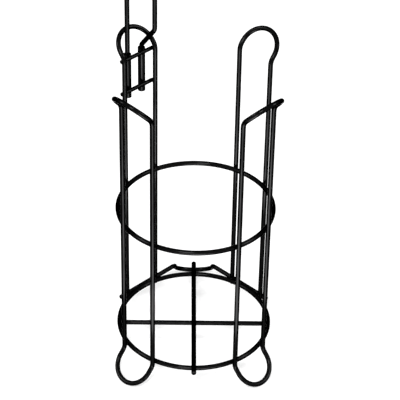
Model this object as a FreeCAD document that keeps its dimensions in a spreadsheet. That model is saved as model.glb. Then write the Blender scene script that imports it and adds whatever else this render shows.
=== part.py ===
import FreeCAD, Part, Sketcher
import math
import os

# Free-standing holder of bent wire: a round well of two rings and four looped frames, and a
# double-wire arm that lifts out of two sockets.
# Origin: on the floor, on the upright axis of the two rings. +Z is up, the front faces -Y and
# +X is to the right of someone who faces the stand. Lengths are millimetres, angles degrees.

Vector = FreeCAD.Vector
UP = Vector(0, 0, 1)
QUARTER = 90
COINCIDENT = 1e-7

SIZES = {
    # Wire stock and how deep its pieces melt into each other at a weld
    "wire_diameter": 5.0,
    "weld_sink": 0.3,
    "end_round": 1.2,
    # Rings, on the centre line of the wire
    "ring_radius": 78.0,
    "ring_spacing": 145.8,
    # Four upright frames round the rings; rises and drops start at the bottom ring
    "frame_turn": 45.0,
    "frame_width": 41.6,
    "top_bend_rise": 290.3,
    "top_bend_radius": 12.0,
    "top_flare_angle": 42.5,
    "top_flare_straight": 1.6,
    # Feet
    "foot_bend_drop": 3.3,
    "foot_bend_radius": 9.0,
    "foot_flare_angle": 43.0,
    "foot_flare_straight": 4.7,
    "rear_foot_drop": 4.1,
    "rear_foot_overhang": 5.8,
    # Bars across the base
    "cross_bar_overhang": 1.0,
    "long_bar_overhang": 14.2,
    # Socket bars and sockets, on the outer side of the back left frame; depths under its top bends
    "socket_bar_diameter": 4.2,
    "socket_bar_overhang": 1.0,
    "upper_socket_bar_depth": 4.7,
    "lower_socket_bar_depth": 41.7,
    "socket_diameter": 7.5,
    "socket_length": 49.0,
    "socket_mouth_depth": 2.8,
    "socket_spacing": 19.0,
    "socket_offset": 1.9,
    "socket_clearance": 0.08,
    "socket_chamfer": 0.4,
    # Arm: a hairpin of one wire; the spindle's rise starts at the sockets' mouths
    "arm_insertion": 44.0,
    "arm_seat_gap": 0.3,
    "jog_rise": 24.0,
    "jog_bend_radius": 8.0,
    "spindle_rise": 268.5,
    "spindle_length": 108.0,
    "spindle_bend_radius": 12.0,
    "tip_angle": 50.0,
    "tip_bend_radius": 9.0,
    "tip_straight": 6.0,
}

doc = FreeCAD.newDocument("toilet_roll_stand")
sheet = doc.addObject("Spreadsheet::Sheet", "Sizes")
for row, (alias, value) in enumerate(SIZES.items(), start=1):
    sheet.set("A%d" % row, alias)
    sheet.set("B%d" % row, str(value))
    sheet.setAlias("B%d" % row, alias)
doc.recompute()

sub_parts = []


def size(alias):
    """A driving size, as the sheet holds it."""
    return float(sheet.get(alias))


def keep(item, label, place=Vector(), turn=FreeCAD.Rotation()):
    """Gives a finished sub-part its label and place and lists it."""
    item.Label = label
    item.Placement = FreeCAD.Placement(place, turn)
    sub_parts.append(item)
    return item


# Places that several pieces share

half_width = size("frame_width") / 2
# Wires that cross touch with their sides, so their centre lines pass this far apart
crossing = size("wire_diameter") - size("weld_sink")
# Plane of a frame's legs, which stand on the outer side of the rings
frame_distance = math.sqrt((size("ring_radius") + crossing) ** 2 - half_width ** 2)
foot_lean = math.radians(size("foot_flare_angle"))


def flare_reach(end):
    """Length of a frame's flare, from the corner of its bend to the middle of its loop's turn."""
    half_lean = math.radians(size(end + "_flare_angle")) / 2
    bend = size(end + "_bend_radius") * math.tan(half_lean)
    return bend + size(end + "_flare_straight") + half_width


# Drop from the bottom ring to the lowest point of the centre line of every foot
foot_drop = size("foot_bend_drop") + flare_reach("foot") * math.cos(foot_lean)
ring_rise = foot_drop + size("wire_diameter") / 2
ring_centre = UP * ring_rise
bend_height = ring_rise + size("top_bend_rise")

front_left = FreeCAD.Rotation(UP, -QUARTER - size("frame_turn"))
front_right = FreeCAD.Rotation(UP, -QUARTER + size("frame_turn"))
back_left = FreeCAD.Rotation(UP, QUARTER + size("frame_turn"))
back_right = FreeCAD.Rotation(UP, QUARTER - size("frame_turn"))


# Bent wire: straight runs joined by tangent arcs, swept with the round section of the wire

def rounded_route(corners):
    """Wire through (point, bend radius) corners; its two ends have the radius 0."""
    edges = []
    here = corners[0][0]
    for before, (corner, radius), after in zip(corners, corners[1:], corners[2:]):
        arriving = (corner - before[0]).normalize()
        leaving = (after[0] - corner).normalize()
        half_turn = arriving.getAngle(leaving) / 2
        tangent = radius * math.tan(half_turn)
        depth = radius / math.cos(half_turn) - radius
        bend_start = corner - arriving * tangent
        bend_middle = corner + (leaving - arriving).normalize() * depth
        bend_end = corner + leaving * tangent
        if (bend_start - here).Length > COINCIDENT:
            edges.append(Part.LineSegment(here, bend_start).toShape())
        edges.append(Part.Arc(bend_start, bend_middle, bend_end).toShape())
        here = bend_end
    end = corners[-1][0]
    if (end - here).Length > COINCIDENT:
        edges.append(Part.LineSegment(here, end).toShape())
    return Part.Wire(edges)


def bent_wire(name, corners):
    """Solid wire along a route of corners, closed where the last corner is the first again."""
    path = doc.addObject("Part::Feature", name + "_path")
    path.Shape = rounded_route(corners)
    section = doc.addObject("Part::Circle", name + "_section")
    section.setExpression("Radius", "Sizes.wire_diameter / 2")
    start = corners[0][0]
    heading = corners[1][0] - start
    section.Placement = FreeCAD.Placement(start, FreeCAD.Rotation(UP, heading))
    sweep = doc.addObject("Part::Sweep", name + "_sweep")
    sweep.Sections = [section]
    sweep.Spine = (path, ["Edge%d" % (number + 1) for number in range(len(path.Shape.Edges))])
    sweep.Solid = True
    sweep.Frenet = False
    doc.recompute()
    full = path.Shape.Length * math.pi * size("wire_diameter") ** 2 / 4
    print("%s: volume over section times length %.5f" % (name, sweep.Shape.Volume / full))
    return sweep


def both_sides(half, mirror):
    """Route of both halves of a mirrored wire, from the last corner of one to that of the other."""
    image = [(mirror(point), radius) for point, radius in half]
    return image[::-1] + half


def with_round_ends(name, wire, ends):
    """Takes the sharp edge off each cut end of a wire."""
    rims = []
    for number, edge in enumerate(wire.Shape.Edges, start=1):
        if isinstance(edge.Curve, Part.Circle):
            if min((edge.Curve.Center - end).Length for end in ends) < COINCIDENT:
                rims.append((number, size("end_round"), size("end_round")))
    item = doc.addObject("Part::Fillet", name)
    item.Base = wire
    item.Edges = rims
    doc.recompute()
    return item


def round_ended_bar(name, diameter, half_length):
    """Round bar along Z, centred on the origin; its sizes are expressions."""
    rod = doc.addObject("Part::Cylinder", name + "_rod")
    rod.setExpression("Radius", diameter + " / 2")
    rod.setExpression("Height", "2 * (" + half_length + ")")
    doc.recompute()
    end = UP * (rod.Height.Value / -2)
    rod.Placement.Base = end
    return with_round_ends(name, rod, [end, end * -1])


# Rings

def ring(label, rise):
    item = doc.addObject("Part::Torus", label)
    item.setExpression("Radius1", "Sizes.ring_radius")
    item.setExpression("Radius2", "Sizes.wire_diameter / 2")
    keep(item, label, ring_centre + UP * rise)


ring("bottom_ring", 0)
ring("middle_ring", size("ring_spacing"))


# Frames. In a frame's own axes +X points outwards from the stand, its two legs are mirrored
# in Y and Z starts at the bottom ring.

def other_leg(point):
    return Vector(point.x, -point.y, point.z)


def loop_corner(bend_height, reach, lean, upward):
    """Corner where a flared loop turns across, beyond a leg's bend."""
    outwards = frame_distance + reach * math.sin(lean)
    return Vector(outwards, half_width, bend_height + upward * reach * math.cos(lean))


def leg_from_crown(corners_below):
    """Half of a frame, from the crown of its top loop down one leg."""
    bend = Vector(frame_distance, half_width, size("top_bend_rise"))
    lean = math.radians(size("top_flare_angle"))
    shoulder = loop_corner(bend.z, flare_reach("top"), lean, 1)
    return [(shoulder, half_width), (bend, size("top_bend_radius"))] + corners_below


def front_frame(label, turn):
    """Closed loop whose lower end flares out into a foot."""
    ankle = Vector(frame_distance, half_width, -size("foot_bend_drop"))
    toe = loop_corner(ankle.z, flare_reach("foot"), foot_lean, -1)
    sole = (Vector(toe.x, 0, toe.z), 0)
    half = leg_from_crown([(ankle, size("foot_bend_radius")), (toe, half_width), sole])
    keep(bent_wire(label, both_sides(half, other_leg)), label, ring_centre, turn)


def back_frame(label, turn):
    """Hairpin, open at the bottom, whose legs end level with the underside of the rear foot's arms."""
    drop = size("rear_foot_drop") + size("wire_diameter") / 2
    end = Vector(frame_distance, half_width, -drop)
    half = leg_from_crown([(end, 0)])
    wire = bent_wire(label + "_wire", both_sides(half, other_leg))
    keep(with_round_ends(label, wire, [end, other_leg(end)]), label, ring_centre, turn)


front_frame("front_left_frame", front_left)
front_frame("front_right_frame", front_right)
back_frame("back_left_frame", back_left)
back_frame("back_right_frame", back_right)


# Rear foot: one wire whose two level arms lie across the outer sides of the back frames' legs,
# a little lower than the bottom ring, and run on until they meet behind it in a loop like those
# of the front feet

def rear_foot(label):
    outwards = back_left.multVec(Vector(1, 0, 0))
    forwards = back_left.multVec(Vector(0, 1, 0))
    touch = outwards * (frame_distance + crossing) - UP * size("rear_foot_drop")
    end = touch + forwards * (half_width + size("rear_foot_overhang"))
    knee = touch - forwards * ((touch.x + half_width) / forwards.x)
    fall = foot_drop - size("rear_foot_drop")
    toe = knee + Vector(0, fall * math.tan(foot_lean), -fall)
    half = [(toe, half_width), (knee, size("foot_bend_radius")), (end, 0)]
    wire = bent_wire(label + "_wire", both_sides(half, other_side))
    keep(with_round_ends(label, wire, [end, other_side(end)]), label, ring_centre)


def other_side(point):
    return Vector(-point.x, point.y, point.z)


rear_foot("rear_foot")


# Bars across the base: the cross bar is welded to the underside of the bottom ring and the long
# bar to its upper side

def base_bar(label, rise, turn):
    """Level bar across the ring, which ends outside the ring's centre line on both sides."""
    half_length = "Sizes.ring_radius + Sizes.%s_overhang" % label
    bar = round_ended_bar(label, "Sizes.wire_diameter", half_length)
    keep(bar, label, ring_centre + UP * rise, turn)


base_bar("cross_bar", -crossing, FreeCAD.Rotation(Vector(0, 1, 0), QUARTER))
base_bar("long_bar", crossing, FreeCAD.Rotation(Vector(1, 0, 0), QUARTER))


# Socket bars and sockets, in layers outwards from the legs of the back left frame

bar_distance = frame_distance - size("weld_sink")
bar_distance += (size("wire_diameter") + size("socket_bar_diameter")) / 2
socket_distance = bar_distance - size("weld_sink")
socket_distance += (size("socket_bar_diameter") + size("socket_diameter")) / 2


def socket_bar(label, depth):
    """Level bar across both legs."""
    bar = round_ended_bar(label, "Sizes.socket_bar_diameter",
                          "Sizes.frame_width / 2 + Sizes.socket_bar_overhang")
    place = back_left.multVec(Vector(bar_distance, 0, 0)) + UP * (bend_height - depth)
    keep(bar, label, place, back_left.multiply(FreeCAD.Rotation(Vector(1, 0, 0), QUARTER)))


socket_bar("upper_socket_bar", size("upper_socket_bar_depth"))
socket_bar("lower_socket_bar", size("lower_socket_bar_depth"))


def socket_mouth(side):
    """Centre of a socket's mouth; side is +1 for the left socket and -1 for the right one."""
    along = side * size("socket_spacing") / 2 - size("socket_offset")
    level = back_left.multVec(Vector(socket_distance, along, 0))
    return level + UP * (bend_height - size("socket_mouth_depth"))


def origin_plane(body, role):
    return next(feature for feature in body.Origin.OriginFeatures if feature.Role == role)


def socket(label, side):
    """Tube open at both ends, hung down from its mouth, which is chamfered to lead the arm in."""
    body = doc.addObject("PartDesign::Body", label)
    sketch = body.newObject("Sketcher::SketchObject", label + "_section")
    sketch.AttachmentSupport = (origin_plane(body, "XY_Plane"), [""])
    sketch.MapMode = "FlatFace"
    bore_diameter = size("wire_diameter") + 2 * size("socket_clearance")
    for name, diameter in (("outside", size("socket_diameter")), ("bore", bore_diameter)):
        circle = sketch.addGeometry(Part.Circle(Vector(), UP, diameter / 2), False)
        sketch.addConstraint(Sketcher.Constraint("Coincident", circle, 3, -1, 1))
        number = sketch.addConstraint(Sketcher.Constraint("Diameter", circle, diameter))
        sketch.renameConstraint(number, name)
    sketch.setExpression("Constraints.outside", "Sizes.socket_diameter")
    sketch.setExpression("Constraints.bore", "Sizes.wire_diameter + 2 * Sizes.socket_clearance")
    tube = body.newObject("PartDesign::Pad", label + "_tube")
    tube.Profile = sketch
    tube.setExpression("Length", "Sizes.socket_length")
    tube.Reversed = True
    doc.recompute()
    rim = [number for number, edge in enumerate(tube.Shape.Edges, start=1)
           if isinstance(edge.Curve, Part.Circle)
           and abs(edge.Curve.Center.z) < COINCIDENT
           and abs(edge.Curve.Radius - bore_diameter / 2) < COINCIDENT]
    chamfer = body.newObject("PartDesign::Chamfer", label + "_mouth")
    chamfer.Base = (tube, ["Edge%d" % number for number in rim])
    chamfer.setExpression("Size", "Sizes.socket_chamfer")
    doc.recompute()
    keep(body, label, socket_mouth(side), back_left)


socket("left_socket", 1)
socket("right_socket", -1)


# Arm: a hairpin of one wire. The left upright is straight; the right one jogs inwards over its
# socket until both stand side by side. At the top both bend to the right into a double spindle,
# whose closed end turns up.

def arm(label):
    left = socket_mouth(1)
    right = socket_mouth(-1)
    inwards = back_left.multVec(Vector(-1, 0, 0))
    jog = inwards * ((left.y - right.y) / inwards.y)
    inner = right + jog
    gauge = (inner - left).Length
    lower = UP * -size("arm_insertion")
    jog_lean = math.atan2(jog.Length, size("jog_rise"))
    jog_start = UP * (size("arm_seat_gap") + size("jog_bend_radius") * math.tan(jog_lean / 2))
    jog_end = jog_start + UP * size("jog_rise")

    spindle = left.z + size("spindle_rise")
    top = Vector(left.x, left.y, spindle + gauge / 2)
    under = Vector(inner.x, inner.y, spindle - gauge / 2)
    bend = size("spindle_bend_radius")
    # Both wires of the tip turn about the same centre, above the far end of the spindle
    centre = Vector(under.x + bend + size("spindle_length"), left.y, top.z + size("tip_bend_radius"))
    turn = math.radians(size("tip_angle"))
    heading = Vector(math.cos(turn), 0, math.sin(turn))
    across = Vector(math.sin(turn), 0, -math.cos(turn))

    def tip_wire(radius):
        corner = Vector(centre.x + radius * math.tan(turn / 2), centre.y, centre.z - radius)
        end = centre + across * radius + heading * (size("tip_straight") + gauge / 2)
        return [(corner, radius), (end, gauge / 2)]

    near = tip_wire(size("tip_bend_radius"))
    far = tip_wire(size("tip_bend_radius") + gauge)
    corners = [(left + lower, 0), (top, bend + gauge)] + near
    corners += far[::-1] + [(under, bend), (inner + jog_end, size("jog_bend_radius")),
                            (right + jog_start, size("jog_bend_radius")), (right + lower, 0)]
    wire = bent_wire(label + "_wire", corners)
    keep(with_round_ends(label, wire, [left + lower, right + lower]), label)


arm("dispenser_arm")


# Checks, then one file for each sub-part

doc.recompute()
for item in doc.Objects:
    if "Invalid" in item.State or "Error" in item.State:
        raise RuntimeError("%s: %s" % (item.Name, item.State))
for item in sub_parts:
    if item.Shape.isNull() or not item.Shape.isValid() or len(item.Shape.Solids) != 1:
        raise RuntimeError("%s has no single valid solid" % item.Label)

os.makedirs("parts", exist_ok=True)
for item in sub_parts:
    item.Shape.exportStep(os.path.join("parts", item.Label + ".step"))
    box = item.Shape.BoundBox
    print("%-18s volume %8.0f  z %6.1f to %6.1f" % (item.Label, item.Shape.Volume, box.ZMin, box.ZMax))
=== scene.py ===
import math

import bpy
from mathutils import Matrix, Vector


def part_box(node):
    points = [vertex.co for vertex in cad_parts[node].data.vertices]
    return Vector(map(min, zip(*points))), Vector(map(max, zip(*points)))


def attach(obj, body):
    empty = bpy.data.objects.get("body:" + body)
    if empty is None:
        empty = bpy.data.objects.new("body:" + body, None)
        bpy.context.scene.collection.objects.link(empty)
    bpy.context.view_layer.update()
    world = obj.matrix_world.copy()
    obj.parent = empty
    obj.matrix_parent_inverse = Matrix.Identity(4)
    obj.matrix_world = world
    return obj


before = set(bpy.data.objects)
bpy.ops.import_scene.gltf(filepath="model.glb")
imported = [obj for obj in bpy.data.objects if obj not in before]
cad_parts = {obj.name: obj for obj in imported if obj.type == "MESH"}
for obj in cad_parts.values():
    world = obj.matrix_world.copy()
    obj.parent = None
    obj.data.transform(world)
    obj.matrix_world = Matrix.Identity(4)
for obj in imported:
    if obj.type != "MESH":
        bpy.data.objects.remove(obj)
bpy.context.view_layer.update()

# Metres, in the frame of the solids: origin on the floor on the upright axis of the rings,
# +Z up, -Y to the front.

MILLIMETRE = 0.001

# Sizes of the wires, from the boxes of the nodes

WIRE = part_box("bottom_ring")[1].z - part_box("bottom_ring")[0].z
RING_Z = (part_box("bottom_ring")[1].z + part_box("bottom_ring")[0].z) / 2
MIDDLE_Z = (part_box("middle_ring")[1].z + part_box("middle_ring")[0].z) / 2
RING_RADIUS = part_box("bottom_ring")[1].x - WIRE / 2
SOCKET_RADIUS = (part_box("left_socket")[1].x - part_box("left_socket")[0].x) / 2
FOOT_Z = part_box("rear_foot")[1].z - WIRE / 2

# Welded wires sink into each other, which leaves this distance between their centre lines
SINK = 0.3 * MILLIMETRE
CROSSING = WIRE - SINK

# Distance of a frame's legs from its middle, and of its plane from the upright axis
HALF_WIDTH = 20.8 * MILLIMETRE
FRAME_DISTANCE = math.sqrt((RING_RADIUS + CROSSING) ** 2 - HALF_WIDTH ** 2)

# Turn of each frame about the upright axis, in degrees
FRAME_TURNS = {"front_left": 225, "front_right": 315, "back_right": 45, "back_left": 135}
# The two legs of a frame and the side of its middle on which each stands
LEGS = (("a", -1), ("b", 1))


# Materials

PAINT_DARK = (0.004, 0.004, 0.0041, 1)
PAINT_PALE = (0.0072, 0.0072, 0.0073, 1)
# Heights of the clouds' noise between which the tone and the gloss change
TONE_CLOUDS = (0.35, 0.7)
GLOSS_CLOUDS = (0.3, 0.7)
# Roughness at the two ends of the gloss, from the paint's own
GLOSS_SPREAD = (-0.04, 0.05)
CLOUD_SCALE = 35
CLOUD_DETAIL = 4
PEBBLE_SCALE = 900
PEBBLE_DETAIL = 2
PEBBLE_STRENGTH = 0.2


def new_material(name):
    material = bpy.data.materials.new(name)
    material.use_nodes = True
    nodes = material.node_tree.nodes
    nodes.clear()
    return material, nodes, material.node_tree.links


def add_node(nodes, kind, values):
    """New node with these values on its inputs."""
    node = nodes.new(kind)
    for name, value in values.items():
        node.inputs[name].default_value = value
    return node


def black_paint(name, roughness, grain_depth):
    """Black powder coat: a fine pebbled skin over the steel, with slightly cloudy gloss."""
    material, nodes, links = new_material(name)
    output = nodes.new("ShaderNodeOutputMaterial")
    # A metallic shader with a black edge tint keeps the sides of a wire dark
    shader = add_node(nodes, "ShaderNodeBsdfPrincipled", {
        "Metallic": 1, "Specular Tint": (0, 0, 0, 1),
    })
    place = nodes.new("ShaderNodeTexCoord")
    clouds = add_node(nodes, "ShaderNodeTexNoise", {
        "Scale": CLOUD_SCALE, "Detail": CLOUD_DETAIL,
    })
    tone = nodes.new("ShaderNodeValToRGB")
    dark, pale = tone.color_ramp.elements
    dark.position, dark.color = TONE_CLOUDS[0], PAINT_DARK
    pale.position, pale.color = TONE_CLOUDS[1], PAINT_PALE
    gloss = add_node(nodes, "ShaderNodeMapRange", {
        "From Min": GLOSS_CLOUDS[0], "From Max": GLOSS_CLOUDS[1],
        "To Min": roughness + GLOSS_SPREAD[0], "To Max": roughness + GLOSS_SPREAD[1],
    })
    pebbles = add_node(nodes, "ShaderNodeTexNoise", {
        "Scale": PEBBLE_SCALE, "Detail": PEBBLE_DETAIL,
    })
    bump = add_node(nodes, "ShaderNodeBump", {
        "Strength": PEBBLE_STRENGTH, "Distance": grain_depth,
    })
    links.new(place.outputs["Object"], clouds.inputs["Vector"])
    links.new(place.outputs["Object"], pebbles.inputs["Vector"])
    links.new(clouds.outputs["Fac"], tone.inputs["Fac"])
    links.new(clouds.outputs["Fac"], gloss.inputs["Value"])
    links.new(pebbles.outputs["Fac"], bump.inputs["Height"])
    links.new(tone.outputs["Color"], shader.inputs["Base Color"])
    links.new(gloss.outputs["Result"], shader.inputs["Roughness"])
    links.new(bump.outputs["Normal"], shader.inputs["Normal"])
    links.new(shader.outputs["BSDF"], output.inputs["Surface"])
    return material


WIRE_PAINT = black_paint("wire_black_paint", roughness=0.14, grain_depth=0.03 * MILLIMETRE)
WELD_PAINT = black_paint("weld_black_paint", roughness=0.36, grain_depth=0.09 * MILLIMETRE)

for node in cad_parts.values():
    node.data.materials.clear()
    node.data.materials.append(WIRE_PAINT)


# Welds: a small pebble of metal fills the notch where two wires touch

# Radius and depth of a bead, as shares of the wire's diameter
WIRE_BEAD_SHARES = (0.42, 0.2)
THIN_BAR_BEAD_SHARES = (0.38, 0.17)
SOCKET_BEAD_SHARES = (0.42, 0.18)
BEAD_SEGMENTS = 24
BEAD_RINGS = 12


def middle(node):
    low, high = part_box(node)
    return (low + high) / 2


def turned(degrees):
    """Turn about the upright axis, from the local +X of a frame to its place."""
    return Matrix.Rotation(math.radians(degrees), 4, "Z")


def bead_mesh(name, reach, depth):
    """Flattened ball, put together face by face so that every run gives them in the same order."""
    points = [(0, 0, depth)]
    for ring in range(1, BEAD_RINGS):
        down = math.pi * ring / BEAD_RINGS
        for segment in range(BEAD_SEGMENTS):
            around = math.tau * segment / BEAD_SEGMENTS
            points.append((
                reach * math.sin(down) * math.cos(around),
                reach * math.sin(down) * math.sin(around),
                depth * math.cos(down),
            ))
    points.append((0, 0, -depth))
    bottom = len(points) - 1
    lowest_ring = (BEAD_RINGS - 2) * BEAD_SEGMENTS
    faces = []
    for segment in range(BEAD_SEGMENTS):
        here, following = 1 + segment, 1 + (segment + 1) % BEAD_SEGMENTS
        faces.append((0, here, following))
        for upper in range(0, lowest_ring, BEAD_SEGMENTS):
            lower = upper + BEAD_SEGMENTS
            faces.append((here + upper, here + lower, following + lower, following + upper))
        faces.append((here + lowest_ring, bottom, following + lowest_ring))
    mesh = bpy.data.meshes.new(name)
    mesh.from_pydata(points, [], faces)
    for face in mesh.polygons:
        face.use_smooth = True
    mesh.materials.append(WELD_PAINT)
    return mesh


def weld(name, place, facing, shares=WIRE_BEAD_SHARES):
    """Flattened bead centred on the touching point, flat across the facing direction."""
    reach, depth = (WIRE * share for share in shares)
    bead = bpy.data.objects.new(name, bead_mesh(name, reach, depth))
    bpy.context.scene.collection.objects.link(bead)
    bead.rotation_mode = "QUATERNION"
    bead.rotation_quaternion = Vector(facing).to_track_quat("Z", "Y")
    bead.location = place
    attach(bead, "stand")


def ring_welds():
    """Every leg touches both rings."""
    angle = math.asin(HALF_WIDTH / (RING_RADIUS + CROSSING))
    for frame_name, degrees in FRAME_TURNS.items():
        for leg, side in LEGS:
            local = Vector((math.cos(angle), side * math.sin(angle), 0))
            direction = turned(degrees) @ local
            for ring_name, height in (("bottom", RING_Z), ("middle", MIDDLE_Z)):
                place = direction * (RING_RADIUS + CROSSING / 2) + Vector((0, 0, height))
                weld(f"weld_{frame_name}_{leg}_{ring_name}", place, direction)


def base_welds():
    """The cross bar lies under the bottom ring and the long bar over it."""
    for name, place in (
        ("cross_bar_left", (-RING_RADIUS, 0, RING_Z - CROSSING / 2)),
        ("cross_bar_right", (RING_RADIUS, 0, RING_Z - CROSSING / 2)),
        ("long_bar_front", (0, -RING_RADIUS, RING_Z + CROSSING / 2)),
        ("long_bar_back", (0, RING_RADIUS, RING_Z + CROSSING / 2)),
    ):
        weld(f"weld_{name}", Vector(place), (0, 0, 1))


def rear_foot_welds():
    """The rear foot's arms lie across the outer sides of the back frames' legs."""
    for side_name in ("left", "right"):
        turn = turned(FRAME_TURNS["back_" + side_name])
        for leg, side in LEGS:
            local = Vector((FRAME_DISTANCE + CROSSING / 2, side * HALF_WIDTH, FOOT_Z))
            facing = turn @ Vector((1, 0, 0))
            weld(f"weld_rear_foot_{side_name}_{leg}", turn @ local, facing)


def socket_welds():
    """The socket bars lie across the back left frame's legs, and the sockets across the bars."""
    turn = turned(FRAME_TURNS["back_left"])
    facing = turn @ Vector((1, 0, 0))
    for bar in ("upper_socket_bar", "lower_socket_bar"):
        height = middle(bar).z
        for leg, side in LEGS:
            local = Vector((FRAME_DISTANCE + WIRE / 2 - SINK / 2, side * HALF_WIDTH, height))
            weld(f"weld_{bar}_leg_{leg}", turn @ local, facing, THIN_BAR_BEAD_SHARES)
        for tube in ("left_socket", "right_socket"):
            centre = middle(tube)
            axis = Vector((centre.x, centre.y, height))
            place = axis - facing * (SOCKET_RADIUS - SINK / 2)
            weld(f"weld_{bar}_{tube}", place, facing, SOCKET_BEAD_SHARES)


ring_welds()
base_welds()
rear_foot_welds()
socket_welds()


# Stage, light and camera

WHITE = (1, 1, 1, 1)
FLOOR_COLOUR = (0.86, 0.86, 0.86, 1)
FLOOR_SIZE = 30
# Glow of the floor for the eye, near the stand and far off, and the distances where each holds
FLOOR_WHITENING = (0.26, 0.6)
WHITENING_DISTANCES = (0.4, 2)
ROOM_LIGHT = 0.5

# Name, place, aim, width, height and power in watts
LAMPS = (
    ("front_soft_box", (-0.45, -1.9, 2.1), (0, 0, 0.25), 0.7, 0.7, 50),
    ("right_soft_box", (1.9, -0.3, 1.5), (0, 0, 0.2), 0.6, 0.6, 22),
    ("left_soft_box", (-1.9, -0.3, 1.5), (0, 0, 0.2), 0.6, 0.6, 22),
)
# Strip of light on the floor before the stand: its reflection is the stripe along upright wires
FLOOR_STRIP = ("floor_strip", (0, -0.75, 0.003), (0, -0.75, 1), 0.22, 1.2, 15)


def seen_directly(nodes, links):
    """One for a ray from the camera, off a glossy surface or through glass, nought for others."""
    path = nodes.new("ShaderNodeLightPath")
    seen = path.outputs["Is Camera Ray"]
    for kind in ("Is Glossy Ray", "Is Transmission Ray"):
        either = nodes.new("ShaderNodeMath")
        either.operation = "MAXIMUM"
        links.new(seen, either.inputs[0])
        links.new(path.outputs[kind], either.inputs[1])
        seen = either.outputs[0]
    return seen


def stage_floor():
    """Pale floor that is seen as white, dimmed by the object's shadow; far off it glows more."""
    material, nodes, links = new_material("stage_floor")
    output = nodes.new("ShaderNodeOutputMaterial")
    pale = add_node(nodes, "ShaderNodeBsdfDiffuse", {"Color": FLOOR_COLOUR})
    glow = nodes.new("ShaderNodeEmission")
    place = nodes.new("ShaderNodeTexCoord")
    distance = nodes.new("ShaderNodeVectorMath")
    distance.operation = "LENGTH"
    whitening = add_node(nodes, "ShaderNodeMapRange", {
        "From Min": WHITENING_DISTANCES[0], "From Max": WHITENING_DISTANCES[1],
        "To Min": FLOOR_WHITENING[0], "To Max": FLOOR_WHITENING[1],
    })
    white = nodes.new("ShaderNodeAddShader")
    mix = nodes.new("ShaderNodeMixShader")
    links.new(place.outputs["Object"], distance.inputs[0])
    links.new(distance.outputs["Value"], whitening.inputs["Value"])
    links.new(whitening.outputs["Result"], glow.inputs["Strength"])
    links.new(pale.outputs[0], white.inputs[0])
    links.new(glow.outputs[0], white.inputs[1])
    links.new(seen_directly(nodes, links), mix.inputs[0])
    links.new(pale.outputs[0], mix.inputs[1])
    links.new(white.outputs[0], mix.inputs[2])
    links.new(mix.outputs[0], output.inputs["Surface"])
    bpy.ops.mesh.primitive_plane_add(size=FLOOR_SIZE, location=(0, 0, 0))
    floor = bpy.context.object
    floor.name = "stage_floor"
    floor.data.materials.append(material)


def pale_world():
    """Even room light, behind which the camera and reflections see white."""
    world = bpy.data.worlds.new("studio")
    bpy.context.scene.world = world
    world.use_nodes = True
    nodes = world.node_tree.nodes
    links = world.node_tree.links
    nodes.clear()
    output = nodes.new("ShaderNodeOutputWorld")
    room = add_node(nodes, "ShaderNodeBackground", {"Color": WHITE, "Strength": ROOM_LIGHT})
    white = add_node(nodes, "ShaderNodeBackground", {"Color": WHITE, "Strength": 1})
    mix = nodes.new("ShaderNodeMixShader")
    links.new(seen_directly(nodes, links), mix.inputs[0])
    links.new(room.outputs[0], mix.inputs[1])
    links.new(white.outputs[0], mix.inputs[2])
    links.new(mix.outputs[0], output.inputs["Surface"])


def soft_box(name, place, target, width, height, power):
    light = bpy.data.lights.new(name, "AREA")
    light.shape = "RECTANGLE"
    light.size = width
    light.size_y = height
    light.energy = power
    lamp = bpy.data.objects.new(name, light)
    bpy.context.scene.collection.objects.link(lamp)
    lamp.location = place
    lamp.rotation_mode = "QUATERNION"
    lamp.rotation_quaternion = (Vector(target) - Vector(place)).to_track_quat("-Z", "Y")
    return lamp


def photo_camera(place, yaw, pitch, roll, focal_pixels, frame_pixels):
    """Camera at the photograph's viewpoint; angles in degrees, pitch downwards."""
    data = bpy.data.cameras.new("photo_camera")
    data.sensor_width = 36
    data.lens = data.sensor_width * focal_pixels / frame_pixels
    data.clip_end = 100
    camera = bpy.data.objects.new("photo_camera", data)
    bpy.context.scene.collection.objects.link(camera)
    yaw, pitch, roll = (math.radians(angle) for angle in (yaw, pitch, roll))
    ahead = math.cos(pitch)
    forward = Vector((math.sin(yaw) * ahead, math.cos(yaw) * ahead, -math.sin(pitch)))
    right = Vector((math.cos(yaw), -math.sin(yaw), 0))
    up = right.cross(forward)
    level_right = right * math.cos(roll) + up * math.sin(roll)
    level_up = up * math.cos(roll) - right * math.sin(roll)
    turn = Matrix((level_right, level_up, -forward)).transposed()
    camera.matrix_world = Matrix.Translation(place) @ turn.to_4x4()
    bpy.context.scene.camera = camera


stage_floor()
pale_world()
for lamp_values in LAMPS:
    soft_box(*lamp_values)
soft_box(*FLOOR_STRIP).visible_camera = False
photo_camera(
    place=(-0.01499, -1.37056, 1.11653 + RING_Z),
    yaw=0.805, pitch=35.086, roll=1.073,
    focal_pixels=1674.0, frame_pixels=400,
)

bpy.context.scene.view_settings.view_transform = "Standard"
